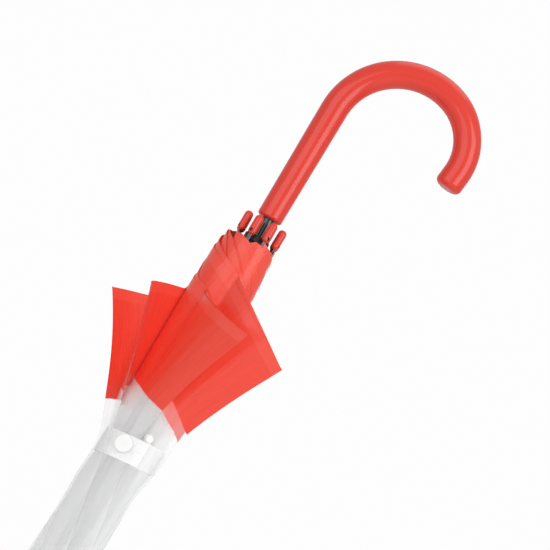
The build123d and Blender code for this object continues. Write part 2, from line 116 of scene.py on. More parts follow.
def opened(body):
    """The matrix that a body has when the runner is all the way down."""
    if body.startswith("rib_"):
        number = body.rsplit("_", 1)[1]
        swing = joints[f"rib_swing_{number}"]
        matrix = turn_about(swing["pos_m"], swing["axis"], RIB_SWING)
        if body.startswith("rib_outer"):
            flex = joints[f"rib_flex_{number}"]
            matrix = matrix @ turn_about(flex["pos_m"], flex["axis"], RIB_FLEX)
        return matrix
    return Matrix.Identity(4)


def apply_matrix(matrix, points):
    m = np.array(matrix)
    return points @ m[:3, :3].T + m[:3, 3]


def beside_rib(radius, across, z, angle):
    """Points near a rib: their distance from the axis along it, how far across it, and their height."""
    return np.stack([
        radius * math.cos(angle) - across * math.sin(angle),
        radius * math.sin(angle) + across * math.cos(angle),
        z,
    ], axis=-1)


# ---- camera: looking along +Y from a little below, rolled so that the umbrella leans to the right ----

CAMERA_LEAN = math.radians(30.8)
CAMERA_RISE = math.radians(7.0)
CAMERA_DISTANCE = 2.0
FRAME_WIDTH = 0.418
SENSOR = 36.0
AIM_SHARE = 0.22
AIM_BELOW = 34.0 * MM
handle_low, handle_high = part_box("handle")
target = Vector((handle_high.x * AIM_SHARE, 0.0, handle_low.z - AIM_BELOW))


def add_camera():
    """The photograph's view; nothing in the script changes it for other views."""
    back = Vector((0.0, -math.cos(CAMERA_RISE), -math.sin(CAMERA_RISE)))
    level = Vector((1.0, 0.0, 0.0))
    upright = back.cross(level)
    right = math.cos(CAMERA_LEAN) * level + math.sin(CAMERA_LEAN) * upright
    up = -math.sin(CAMERA_LEAN) * level + math.cos(CAMERA_LEAN) * upright
    data = bpy.data.cameras.new("camera")
    data.sensor_width = SENSOR
    data.lens = SENSOR * CAMERA_DISTANCE / FRAME_WIDTH
    data.clip_start, data.clip_end = 0.05, 50.0
    camera = bpy.data.objects.new("camera", data)
    camera.matrix_world = Matrix((
        (right.x, up.x, back.x, target.x + back.x * CAMERA_DISTANCE),
        (right.y, up.y, back.y, target.y + back.y * CAMERA_DISTANCE),
        (right.z, up.z, back.z, target.z + back.z * CAMERA_DISTANCE),
        (0.0, 0.0, 0.0, 1.0),
    ))
    bpy.context.scene.collection.objects.link(camera)
    bpy.context.scene.camera = camera


# ---- studio ----

WHITE_BEHIND = 0.985
WHITE_AROUND = 0.56
FLOOR_TONE = 0.74
FLOOR_RADIUS = 9.0
FLOOR_SIDES = 96
FLOOR_DROP = 0.5 * MM
FLOOR_FADE_FROM = 1.5
FLOOR_GLOW = 0.58


def add_area_light(name, place, aim, size, power, shape_ratio=1.0):
    data = bpy.data.lights.new(name, "AREA")
    data.shape = "RECTANGLE"
    data.size, data.size_y = size, size * shape_ratio
    data.energy = power
    light = bpy.data.objects.new(name, data)
    light.location = place
    light.rotation_mode = "QUATERNION"
    light.rotation_quaternion = (Vector(aim) - Vector(place)).to_track_quat("-Z", "Y")
    bpy.context.scene.collection.objects.link(light)


def add_world():
    """White behind the object, and a softer white for what lights it and shows in its gloss."""
    world = bpy.data.worlds.new("studio")
    bpy.context.scene.world = world
    world.use_nodes = True
    nodes, links = world.node_tree.nodes, world.node_tree.links
    background = nodes["Background"]
    path = nodes.new("ShaderNodeLightPath")
    strength = nodes.new("ShaderNodeMapRange")
    strength.inputs["To Min"].default_value = WHITE_AROUND
    strength.inputs["To Max"].default_value = WHITE_BEHIND
    links.new(path.outputs["Is Camera Ray"], strength.inputs["Value"])
    links.new(strength.outputs["Result"], background.inputs["Strength"])
    background.inputs["Color"].default_value = (1.0, 1.0, 1.0, 1.0)


def add_floor():
    """A pale floor that goes over into the white behind it, far from the object."""
    corners = [
        (FLOOR_RADIUS * math.cos(a), FLOOR_RADIUS * math.sin(a), 0.0)
        for a in (2 * math.pi * i / FLOOR_SIDES for i in range(FLOOR_SIDES))
    ]
    mesh = bpy.data.meshes.new("floor")
    mesh.from_pydata(corners, [], [tuple(range(len(corners)))])
    floor = bpy.data.objects.new("floor", mesh)
    floor.location.z = -FLOOR_DROP
    bpy.context.scene.collection.objects.link(floor)
    material, nodes, links, shader = new_material("pale_floor", (FLOOR_TONE,) * 3, 0.7)
    place = nodes.new("ShaderNodeTexCoord")
    distance = nodes.new("ShaderNodeVectorMath")
    distance.operation = "LENGTH"
    far = nodes.new("ShaderNodeMapRange")
    far.interpolation_type = "SMOOTHSTEP"
    far.inputs["From Min"].default_value = FLOOR_FADE_FROM
    far.inputs["From Max"].default_value = FLOOR_RADIUS
    far.inputs["To Max"].default_value = FLOOR_GLOW
    path = nodes.new("ShaderNodeLightPath")
    links.new(place.outputs["Object"], distance.inputs[0])
    links.new(distance.outputs["Value"], far.inputs["Value"])
    glow = add_math(nodes, links, "MULTIPLY", far.outputs["Result"], path.outputs["Is Camera Ray"])
    shader.inputs["Emission Color"].default_value = (1.0, 1.0, 1.0, 1.0)
    links.new(glow, shader.inputs["Emission Strength"])
    mesh.materials.append(material)


# ---- materials ----

def new_material(name, colour, roughness, **inputs):
    """A material with its nodes, links and shader; inputs are shader sockets, with _ for a space."""
    material = bpy.data.materials.new(name)
    material.use_nodes = True
    nodes, links = material.node_tree.nodes, material.node_tree.links
    shader = nodes["Principled BSDF"]
    shader.inputs["Base Color"].default_value = (*colour, 1.0)
    shader.inputs["Roughness"].default_value = roughness
    for socket, value in inputs.items():
        shader.inputs[socket.replace("_", " ")].default_value = value
    return material, nodes, links, shader


def add_noise(nodes, links, scale, detail=3.0, stretch=(1.0, 1.0, 1.0), source="Object"):
    """A noise whose grain is stretched along the axes by the given factors."""
    coordinates = nodes.new("ShaderNodeTexCoord")
    mapping = nodes.new("ShaderNodeMapping")
    mapping.inputs["Scale"].default_value = stretch
    noise = nodes.new("ShaderNodeTexNoise")
    noise.inputs["Scale"].default_value = scale
    noise.inputs["Detail"].default_value = detail
    links.new(coordinates.outputs[source], mapping.inputs["Vector"])
    links.new(mapping.outputs["Vector"], noise.inputs["Vector"])
    return noise.outputs["Fac"]


def add_range(nodes, links, value, low, high, start=0.0, end=1.0):
    """A value that goes from low to high as the given one goes from start to end."""
    node = nodes.new("ShaderNodeMapRange")
    node.inputs["From Min"].default_value = start
    node.inputs["From Max"].default_value = end
    node.inputs["To Min"].default_value = low
    node.inputs["To Max"].default_value = high
    links.new(value, node.inputs["Value"])
    return node.outputs["Result"]


def add_math(nodes, links, operation, a, b):
    """a and b are numbers or other nodes' outputs."""
    node = nodes.new("ShaderNodeMath")
    node.operation = operation
    for socket, value in zip(node.inputs, (a, b)):
        if isinstance(value, (int, float)):
            socket.default_value = value
        else:
            links.new(value, socket)
    return node.outputs["Value"]


def add_mix(nodes, links, factor, a, b):
    """The colour between a and b, which are colours or other nodes' outputs."""
    mix = nodes.new("ShaderNodeMix")
    mix.data_type = "RGBA"
    for name, colour in (("A", a), ("B", b)):
        if isinstance(colour, tuple):
            mix.inputs[name].default_value = (*colour, 1.0)
        else:
            links.new(colour, mix.inputs[name])
    links.new(factor, mix.inputs["Factor"])
    return mix.outputs["Result"]


def add_tint(nodes, links, shader, factor, colour_a, colour_b):
    links.new(add_mix(nodes, links, factor, colour_a, colour_b), shader.inputs["Base Color"])


def add_roughness(nodes, links, shader, value, low, high):
    links.new(add_range(nodes, links, value, low, high), shader.inputs["Roughness"])


def add_bump(nodes, links, shader, height, strength, distance):
    bump = nodes.new("ShaderNodeBump")
    bump.inputs["Strength"].default_value = strength
    bump.inputs["Distance"].default_value = distance
    links.new(height, bump.inputs["Height"])
    links.new(bump.outputs["Normal"], shader.inputs["Normal"])


def red_gloss_plastic():
    """Moulded red plastic: deep gloss, a faint waviness and slightly uneven colour."""
    material, nodes, links, shader = new_material(
        "red_gloss_plastic", (0.8, 0.05, 0.03), 0.25,
        Specular_IOR_Level=0.3, Coat_Weight=0.5, Coat_Roughness=0.08,
    )
    tone = add_noise(nodes, links, 22.0, 4.0)
    add_tint(nodes, links, shader, tone, (0.72, 0.034, 0.018), (0.77, 0.045, 0.026))
    add_roughness(nodes, links, shader, add_noise(nodes, links, 60.0), 0.27, 0.36)
    add_bump(nodes, links, shader, add_noise(nodes, links, 30.0, 1.0), 0.02, 0.0004)
    return material


def black_gloss_metal():
    """Black enamel on drawn steel, with drawing lines along the length."""
    material, nodes, links, shader = new_material(
        "black_gloss_metal", (0.012, 0.012, 0.014), 0.22, Coat_Weight=0.8, Coat_Roughness=0.08,
    )
    lines = add_noise(nodes, links, 90.0, 4.0, (12.0, 12.0, 0.4))
    add_tint(nodes, links, shader, lines, (0.008, 0.008, 0.009), (0.022, 0.022, 0.026))
    add_roughness(nodes, links, shader, lines, 0.12, 0.22)
    add_bump(nodes, links, shader, lines, 0.03, 0.0001)
    return material


def black_plastic():
    """Moulded black plastic with a fine satin grain."""
    material, nodes, links, shader = new_material("black_plastic", (0.02, 0.02, 0.021), 0.4)
    grain = add_noise(nodes, links, 700.0, 3.0)
    add_tint(nodes, links, shader, grain, (0.014, 0.014, 0.015), (0.03, 0.03, 0.032))
    add_roughness(nodes, links, shader, grain, 0.32, 0.5)
    add_bump(nodes, links, shader, grain, 0.12, 0.0001)
    return material


def spring_steel():
    """Bare steel, brushed."""
    material, nodes, links, shader = new_material("spring_steel", (0.6, 0.6, 0.62), 0.28, Metallic=1.0)
    brushed = add_noise(nodes, links, 300.0, 3.0, (1.0, 1.0, 6.0))
    add_tint(nodes, links, shader, brushed, (0.5, 0.5, 0.52), (0.7, 0.7, 0.71))
    add_roughness(nodes, links, shader, brushed, 0.2, 0.36)
    return material


def white_plastic():
    """The white plastic of the snap and the rivet, a little translucent."""
    material, nodes, links, shader = new_material(
        "white_plastic", (0.93, 0.93, 0.92), 0.35,
        Subsurface_Weight=0.15, Subsurface_Radius=(0.002, 0.002, 0.002),
    )
    tone = add_noise(nodes, links, 260.0, 2.0)
    add_tint(nodes, links, shader, tone, (0.90, 0.90, 0.89), (0.96, 0.96, 0.95))
    add_roughness(nodes, links, shader, tone, 0.28, 0.42)
    return material


def film_alpha(nodes, links, shader, thin, edge_on, cloudy):
    """The alpha of film that is clearer face on and milkier edge on, and the streaks it is uneven by."""
    streaks = add_noise(nodes, links, 7.0, 5.0, (9.0, 1.0, 1.0), "UV")
    uneven = add_range(nodes, links, streaks, 0.0, cloudy, 0.38, 0.7)
    weight = nodes.new("ShaderNodeLayerWeight")
    weight.inputs["Blend"].default_value = 0.35
    facing = add_math(nodes, links, "MULTIPLY", weight.outputs["Facing"], edge_on)
    total = add_math(nodes, links, "ADD", add_math(nodes, links, "ADD", uneven, facing), thin)
    return add_math(nodes, links, "MINIMUM", total, 1.0), streaks


def clear_film():
    """Clear soft plastic sheet, slightly milky, with fine wrinkles from being wrapped."""
    material, nodes, links, shader = new_material("clear_film", (0.95, 0.955, 0.96), 0.12, IOR=1.5)
    alpha, streaks = film_alpha(nodes, links, shader, 0.08, 0.2, 0.06)
    links.new(alpha, shader.inputs["Alpha"])
    add_tint(nodes, links, shader, streaks, (0.96, 0.965, 0.97), (1.0, 1.0, 1.0))
    add_roughness(nodes, links, shader, streaks, 0.08, 0.2)
    wrinkles = add_noise(nodes, links, 10.0, 4.0, (14.0, 2.5, 1.0), "UV")
    add_bump(nodes, links, shader, wrinkles, 0.5, 0.0012)
    return material


def red_film():
    """The band of red film at the hem, doubled and so opaque along its edge, where a paler tint is a
    painted sheen.
    """
    material, nodes, links, shader = new_material(
        "red_film", (0.84, 0.07, 0.05), 0.18, Specular_IOR_Level=0.35,
    )
    alpha, streaks = film_alpha(nodes, links, shader, 0.93, 0.1, 0.04)
    coordinates = nodes.new("ShaderNodeTexCoord")
    split = nodes.new("ShaderNodeSeparateXYZ")
    links.new(coordinates.outputs["UV"], split.inputs["Vector"])
    blur = 0.001
    hem_and_painted_sheen = add_range(nodes, links, split.outputs["Y"], 0.0, 1.0, HEM_STRIP_V - blur, HEM_STRIP_V + blur)
    links.new(add_math(nodes, links, "MAXIMUM", alpha, hem_and_painted_sheen), shader.inputs["Alpha"])
    base = add_mix(nodes, links, streaks, (0.84, 0.062, 0.036), (0.90, 0.085, 0.052))
    # The hem strip is opaque because it is doubled; its paler tint is a painted sheen, the light along
    # the welded edge.
    add_tint(nodes, links, shader, hem_and_painted_sheen, base, (0.89, 0.092, 0.06))
    add_roughness(nodes, links, shader, streaks, 0.14, 0.28)
    wrinkles = add_noise(nodes, links, 9.0, 4.0, (12.0, 2.0, 1.0), "UV")
    add_bump(nodes, links, shader, wrinkles, 0.4, 0.001)
    return material


def strap_film():
    """Whiter, stiffer film than the canopy's, embossed with a fine grain."""
    material, nodes, links, shader = new_material("strap_film", (0.95, 0.95, 0.95), 0.3)
    grain = add_noise(nodes, links, 420.0, 2.0)
    links.new(add_range(nodes, links, grain, 0.6, 0.72), shader.inputs["Alpha"])
    add_tint(nodes, links, shader, grain, (0.92, 0.92, 0.92), (0.98, 0.98, 0.98))
    add_roughness(nodes, links, shader, grain, 0.22, 0.38)
    add_bump(nodes, links, shader, grain, 0.2, 0.0002)
    return material


def finish_cad_nodes(materials):
    """Gives each carried-over CAD node its slot's material."""
    for part in record["subparts"]:
        material = materials.get(part["material_slot"])
        if material is not None:
            mesh = frame["nodes"][part["node"]].data
            mesh.materials.clear()
            mesh.materials.append(material)


# ---- meshes that hold two shapes ----

def opening_group():
    """Takes each point from its closed to its open place as the runner slides down."""
    tree = bpy.data.node_groups.new("open_with_runner", "GeometryNodeTree")
    tree.interface.new_socket("Geometry", in_out="INPUT", socket_type="NodeSocketGeometry")
    tree.interface.new_socket("Geometry", in_out="OUTPUT", socket_type="NodeSocketGeometry")
    nodes, links = tree.nodes, tree.links
    start, end = nodes.new("NodeGroupInput"), nodes.new("NodeGroupOutput")
    runner = nodes.new("GeometryNodeObjectInfo")
    runner.inputs["Object"].default_value = frame["bodies"]["runner"]
    split = nodes.new("ShaderNodeSeparateXYZ")
    share = nodes.new("ShaderNodeMapRange")
    share.inputs["From Max"].default_value = -RUNNER_TRAVEL
    closed_place = nodes.new("GeometryNodeInputPosition")
    open_place = nodes.new("GeometryNodeInputNamedAttribute")
    open_place.data_type = "FLOAT_VECTOR"
    open_place.inputs["Name"].default_value = "open_place"
    between = nodes.new("ShaderNodeMix")
    between.data_type = "VECTOR"
    move = nodes.new("GeometryNodeSetPosition")
    links.new(runner.outputs["Location"], split.inputs["Vector"])
    links.new(split.outputs["Z"], share.inputs["Value"])
    links.new(share.outputs["Result"], between.inputs["Factor"])
    vectors = [s for s in between.inputs if s.type == "VECTOR" and s.name in ("A", "B")]
    links.new(closed_place.outputs["Position"], vectors[0])
    links.new(open_place.outputs["Attribute"], vectors[1])
    links.new(start.outputs["Geometry"], move.inputs["Geometry"])
    result = [s for s in between.outputs if s.type == "VECTOR"][0]
    links.new(result, move.inputs["Position"])
    links.new(move.outputs["Geometry"], end.inputs["Geometry"])
    return tree


def add_piece(name, closed, faces, material, body, open_shape=None):
    """A smooth mesh piece on a body. open_shape is where its points are when the umbrella is open."""
    mesh = bpy.data.meshes.new(name)
    mesh.from_pydata([tuple(p) for p in closed], [], faces)
    mesh.polygons.foreach_set("use_smooth", [True] * len(mesh.polygons))
    mesh.materials.append(material)
    piece = bpy.data.objects.new(name, mesh)
    bpy.context.scene.collection.objects.link(piece)
    if open_shape is not None:
        local = apply_matrix(opened(body).inverted(), open_shape)
        place = mesh.attributes.new("open_place", "FLOAT_VECTOR", "POINT")
        place.data.foreach_set("vector", local.astype(np.float32).ravel())
        piece.modifiers.new("open_with_runner", "NODES").node_group = open_with_runner
    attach(piece, body)
    return piece


def grid_faces(rows, columns, closed):
    """Quads of points stored row by row, the last column joined to the first one if closed."""
    last = columns if closed else columns - 1
    return [
        (r * columns + c, r * columns + (c + 1) % columns,
         (r + 1) * columns + (c + 1) % columns, (r + 1) * columns + c)
        for r in range(rows - 1) for c in range(last)
    ]


def mark_sharp(mesh, sharp_points):
    """Edges whose two ends are both in the set show as creases."""
    flags = [e.vertices[0] in sharp_points and e.vertices[1] in sharp_points for e in mesh.edges]
    sharp = mesh.attributes.get("sharp_edge") or mesh.attributes.new("sharp_edge", "BOOLEAN", "EDGE")
    sharp.data.foreach_set("value", flags)


def distance_along(points):
    """How far along a line each of its points is."""
    return np.concatenate([[0], np.cumsum(np.linalg.norm(np.diff(points, axis=0), axis=1))])


def on_circle(radius, angle, z):
    return np.stack([radius * np.cos(angle), radius * np.sin(angle), z + 0 * radius * angle], axis=-1)


# ---- the line of a rib, closed and open, as distance from the axis and height ----

# How much further out than the hinged line a bent rib leaves the notch, and how much further in it
# passes the bracket, as a share of the flex joint's angle
RIB_BEND_SHARE = 0.32
RIB_CURVE_POINTS = 80


def hermite(start, end, start_angle, end_angle, count):
    """A curve between two points; the angles are from +Z outwards."""
    reach = np.linalg.norm(end - start)
    t = np.linspace(0, 1, count)[:, None]
    a = reach * np.array([math.sin(start_angle), math.cos(start_angle)])
    b = reach * np.array([math.sin(end_angle), math.cos(end_angle)])
    return ((2 * t**3 - 3 * t**2 + 1) * start + (t**3 - 2 * t**2 + t) * a
            + (3 * t**2 - 2 * t**3) * end + (t**3 - t**2) * b)


def open_rib_table():
    """Points of the bent rib and their distances along it, from the notch past the bracket to the tip."""
    tilt = math.atan2(RIB_ALONG[0], RIB_ALONG[1])
    inner, outer = tilt + RIB_SWING, tilt + RIB_SWING - RIB_FLEX
    direction = [np.array([math.sin(a), math.cos(a)]) for a in (inner, outer)]
    bracket = RIB_ROOT + BRACKET_AT * direction[0]
    knuckle = RIB_ROOT + FLEX_AT * direction[0]
    end = knuckle + (RIB_LENGTH - FLEX_AT) * direction[1]
    spread = RIB_FLEX * RIB_BEND_SHARE
    first = hermite(RIB_ROOT, bracket, inner + spread, inner - spread, RIB_CURVE_POINTS)
    second = hermite(bracket, end, inner - spread, outer, RIB_CURVE_POINTS)
    along = []
    for curve, low, high in ((first, 0.0, BRACKET_AT), (second, BRACKET_AT, RIB_LENGTH)):
        steps = distance_along(curve)
        along.append(low + (high - low) * steps / steps[-1])
    return np.concatenate([first[:-1], second]), np.concatenate([along[0][:-1], along[1]])


open_points, open_along = open_rib_table()


def rib_line(distance, is_open):
    """Point, direction along and direction outwards at a distance along the rib."""
    s = np.atleast_1d(distance)
    if not is_open:
        point = RIB_ROOT + s[:, None] * RIB_ALONG
        along = np.repeat(RIB_ALONG[None], len(s), axis=0)
    else:
        step = 1.0 * MM
        ahead, behind = np.clip(s + step, 0, RIB_LENGTH), np.clip(s - step, 0, RIB_LENGTH)
        point, front, rear = (
            np.stack([np.interp(q, open_along, open_points[:, i]) for i in (0, 1)], axis=-1)
            for q in (np.clip(s, 0, RIB_LENGTH), ahead, behind)
        )
        along = (front - rear) / np.linalg.norm(front - rear, axis=1)[:, None]
    outward = np.stack([along[:, 1], -along[:, 0]], axis=-1)
    return point, along, outward


# ---- ribs ----

ROD_LENGTH = RIB_LENGTH - 8.0 * MM
ROD_WIDTH = 3.2 * MM
ROD_DEPTH = 2.6 * MM
ROD_BEVEL = 0.35 * MM
GROOVE_WIDTH = 1.6 * MM
GROOVE_DEPTH = 1.2 * MM
NECK_WIDTH = 2.0 * MM
NECK_LENGTH = 11.0 * MM
NECK_STEP = 0.4 * MM
NECK_GROOVE = 0.02 * MM
INNER_STATIONS = 46
OUTER_STATIONS = 40
EYE_RADIUS = 1.8 * MM
BRACKET_RADIUS = 1.8 * MM
BRACKET_TOP = 0.6 * MM
CHEEK_ACROSS = 1.6 * MM
CHEEK_HALF = 0.4 * MM
RIVET_RADIUS = 0.6 * MM
RIVET_HALF = 2.2 * MM
RIVET_HEAD_RADIUS = 1.1 * MM
RIVET_HEAD_ACROSS = 2.25 * MM
RIVET_HEAD_HALF = 0.25 * MM


def rod_section(width, groove):
    """The grooved section, as offsets outwards and across; the groove faces the shaft."""
    d, w, g = ROD_DEPTH / 2, width / 2, min(GROOVE_WIDTH, width / 2) / 2
    b = ROD_BEVEL
    return np.array([
        (-d, -w), (-d, -g), (-d + groove, -g), (-d + groove, g), (-d, g), (-d, w),
        (d - b, w), (d, w - b), (d, b - w), (d - b, -w),
    ])


def rod_points(stations, sections, angle, is_open):
    """The rod's rings of points, one at each distance along the rib."""
    point, _, outward = rib_line(stations, is_open)
    rings = []
    for p, n, section in zip(point, outward, sections):
        r = p[0] + section[:, 0] * n[0]
        z = p[1] + section[:, 0] * n[1]
        rings.append(beside_rib(r, section[:, 1], z, angle))
    return np.concatenate(rings)


def plate(outline, half_width, centre_across=0.0):
    """A flat plate: its outline as (along, outwards) points, and its two faces across the rib."""
    count = len(outline)
    sides = [(s, d, centre_across + side * half_width) for side in (-1, 1) for s, d in outline]
    faces = [(i, (i + 1) % count, count + (i + 1) % count, count + i) for i in range(count)]
    faces += [tuple(range(count)), tuple(reversed(range(count, 2 * count)))]
    return np.array(sides), faces


def round_outline(along, outward, radius, count=20):
    return [
        (along + radius * math.cos(a), outward + radius * math.sin(a))
        for a in (2 * math.pi * i / count for i in range(count))
    ]


def rib_fittings():
    """The eye at the notch, and the bracket and rivet that hold the stretcher."""
    parts = [plate(round_outline(0.0, 0.0, EYE_RADIUS), NECK_WIDTH / 2)]
    drop = -BRACKET_DROP
    cheek = [
        (BRACKET_AT + BRACKET_RADIUS * math.cos(a), drop + BRACKET_RADIUS * math.sin(a))
        for a in (math.pi * (1 + i / 12) for i in range(13))
    ]
    cheek += [(BRACKET_AT + BRACKET_RADIUS, BRACKET_TOP), (BRACKET_AT - BRACKET_RADIUS, BRACKET_TOP)]
    head = round_outline(BRACKET_AT, drop, RIVET_HEAD_RADIUS)
    for side in (-1, 1):
        parts.append(plate(cheek, CHEEK_HALF, side * CHEEK_ACROSS))
        parts.append(plate(head, RIVET_HEAD_HALF, side * RIVET_HEAD_ACROSS))
    parts.append(plate(round_outline(BRACKET_AT, drop, RIVET_RADIUS), RIVET_HALF))
    return parts


def fitting_points(local, angle, matrix):
    """Rib-side points (along, outwards, across) at their closed place, moved by a matrix."""
    flat = RIB_ROOT + local[:, :1] * RIB_ALONG + local[:, 1:2] * RIB_OUT
    return apply_matrix(matrix, beside_rib(flat[:, 0], local[:, 2], flat[:, 1], angle))


def add_rib(number, material):
    """One rib, as two rods that meet at the knuckle and bend into one curve when open."""
    angle = RIB_ANGLES[number - 1]
    neck = rod_section(NECK_WIDTH, NECK_GROOVE)
    full = rod_section(ROD_WIDTH, GROOVE_DEPTH)
    ring = len(full)
    bar = np.linspace(NECK_LENGTH + NECK_STEP, FLEX_AT, INNER_STATIONS)
    inner_stations = np.concatenate([[0.0, NECK_LENGTH / 2, NECK_LENGTH], bar])
    inner_sections = [neck] * 3 + [full] * len(bar)
    outer_stations = np.linspace(FLEX_AT, ROD_LENGTH, OUTER_STATIONS)
    outer_sections = [full] * len(outer_stations)
    for side, stations, sections in (
        ("inner", inner_stations, inner_sections),
        ("outer", outer_stations, outer_sections),
    ):
        body = f"rib_{side}_{number}"
        closed = rod_points(stations, sections, angle, False)
        unfolded = rod_points(stations, sections, angle, True)
        faces = grid_faces(len(stations), ring, True)
        faces.append(tuple(reversed(range(ring))))
        faces.append(tuple(range((len(stations) - 1) * ring, len(stations) * ring)))
        if side == "inner":
            for local, plate_faces in rib_fittings():
                base = len(closed)
                closed = np.concatenate([closed, fitting_points(local, angle, Matrix.Identity(4))])
                unfolded = np.concatenate([unfolded, fitting_points(local, angle, opened(body))])
                faces += [tuple(base + i for i in face) for face in plate_faces]
        rib = add_piece(f"rib_rod_{side}_{number}", closed, faces, material, body, unfolded)
        rib.data.set_sharp_from_angle(angle=math.radians(35))
        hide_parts(body)


# ---- canopy: one sheet, wound round the shaft in eight folds ----

# Distances along the film start at the ribs' pivots on the notch, and a share is a part of FILM_LENGTH
FILM_LENGTH = 580.0 * MM
BAND_WIDTH = 90.0 * MM
HEM_STRIP = 9.0 * MM
HEM_STRIP_V = 1.0 - HEM_STRIP / FILM_LENGTH
BAND_START = FILM_LENGTH - BAND_WIDTH
FOLD_STEPS = 56
FILM_GAP = 1.8 * MM
OPEN_GAP = 2.4 * MM
FILM_START = 8.0 * MM
WIND_START_V = 0.733
FLARE_FROM = 0.80
FLARE_POWER = 1.15
DROP_POWER = 1.1
RIB_PEAK = 1.6 * MM
LOOSE_SIDE = 2.8 * MM
LOOSE_RIB = 6
LOOSE_DIP = 7.0 * MM
LAYER_ROOM = 3.0 * MM
OUTLINE_STEPS = 240
HEM_SCALLOP = 0.035
PANEL_SAG = 0.018
FIRST_ROWS_END = 60.0 * MM
HEM_TOP = rib_line(FILM_LENGTH, False)[0][0][1]
APEX_HEIGHT = CAP_TOP + 0.45 * MM
APEX_RINGS = (SHAFT_RADIUS + 0.2 * MM, 8.5 * MM, NOTCH_RADIUS + 0.55 * MM)
APEX_SHARES = [-0.03, -0.02, -0.01]

# Where each fold's corner stands: azimuth in degrees, distance from the axis and height in mm,
# and how late the fold flares out to it
FOLD_CORNERS = {
    1: (293.0, 81.5, 580.5, 1.7),
    2: (325.0, 83.5, 573.5, 1.35),
    3: (7.0, 44.0, 565.0, 1.7),
    4: (52.0, 55.0, 570.0, 1.7),
    5: (97.5, 60.0, 575.0, 1.7),
    6: (142.5, 60.0, 570.0, 1.7),
    7: (186.0, 73.0, 566.0, 1.85),
    8: (232.0, 77.0, 578.5, 1.7),
}
# Share of the film's length, and the wound bundle's radius there in mm
BUNDLE_RADIUS = [
    (0.0, 12.5), (0.08, 15.5), (0.17, 18.5), (0.3, 23.5), (0.42, 26.0), (0.55, 25.0),
    (0.63, 23.8), (0.69, 23.0), (0.745, 23.2), (0.85, 25.0), (1.0, 25.6),
]
# Share of the way out along a fold, and the share of its whole drop made there
USUAL_DROP = [
    (0.0, 0.0), (0.1, 0.02), (0.18, 0.08), (0.25, 0.18), (0.36, 0.36), (0.48, 0.57), (0.58, 0.77),
    (0.7, 0.86), (1.0, 1.0),
]
DROP_SHARE = {number: USUAL_DROP for number in FOLD_CORNERS}
DROP_SHARE[1] = [
    (0.0, 0.0), (0.15, 0.10), (0.25, 0.32), (0.36, 0.64), (0.6, 0.80), (0.85, 0.94), (1.0, 1.0),
]
DROP_SHARE[2] = [(0.0, 0.0), (0.15, 0.08), (0.25, 0.2), (0.49, 0.42), (0.68, 0.62), (1.0, 1.0)]
DROP_SHARE[8] = [
    (0.0, 0.0), (0.15, 0.08), (0.25, 0.26), (0.36, 0.56), (0.46, 0.78), (0.7, 0.89), (1.0, 1.0),
]
# Share of the film's length, and how far round a fold reaches there in degrees
FOLD_TURN = [
    (0.0, 22.5), (0.06, 60.0), (0.17, 130.0), (0.3, 225.0), (0.42, 290.0), (0.55, 298.0),
    (0.68, 268.0), (0.78, 246.0), (1.0, 255.0),
]


def profile(knots, share):
    """A smooth curve near the knots: straight runs between them, averaged over a short stretch."""
    x, y = zip(*knots)
    spread = np.linspace(-0.03, 0.03, 9)
    return np.mean([np.interp(np.clip(share + d, 0, 1), x, y) for d in spread], axis=0)


def smooth(t):
    """0 below 0, 1 above 1 and an even rise between them."""
    t = np.clip(t, 0, 1)
    return t * t * (3 - 2 * t)


def wrinkle(angle, z, share):
    """How far the wound film stands out, the same for every layer at one place so that none cross."""
    twist = angle - 13.0 * z
    ridges = 0.55 * (1 - np.abs(np.sin(2.0 * twist + 0.6))) ** 2
    ridges += 0.45 * (1 - np.abs(np.sin(3.5 * (twist - 6.0 * z) + 1.9))) ** 2
    fine = 0.25 * (1 + np.sin(9.0 * twist + 40.0 * z))
    calm = 1 - 0.85 * float(smooth((share - 0.78) / 0.1))
    under_strap = 1 - 0.75 * np.exp(-(((z - STRAP_MIDDLE.z) / 0.016) ** 2))
    loose = -LOOSE_SIDE * np.cos(angle) * float(smooth((share - 0.15) / 0.2))
    aside = loose * (1 - np.exp(-(((z - STRAP_MIDDLE.z) / 0.022) ** 2)))
    return (ridges + fine * calm) * MM * calm * smooth(share / 0.15) * under_strap + aside


def along_share(angle, radius):
    """Each point's share of the way along a curve round the shaft."""
    step = np.hypot(np.diff(radius), 0.5 * (radius[1:] + radius[:-1]) * np.diff(angle))
    length = np.concatenate([[0], np.cumsum(step)])
    return length / length[-1]


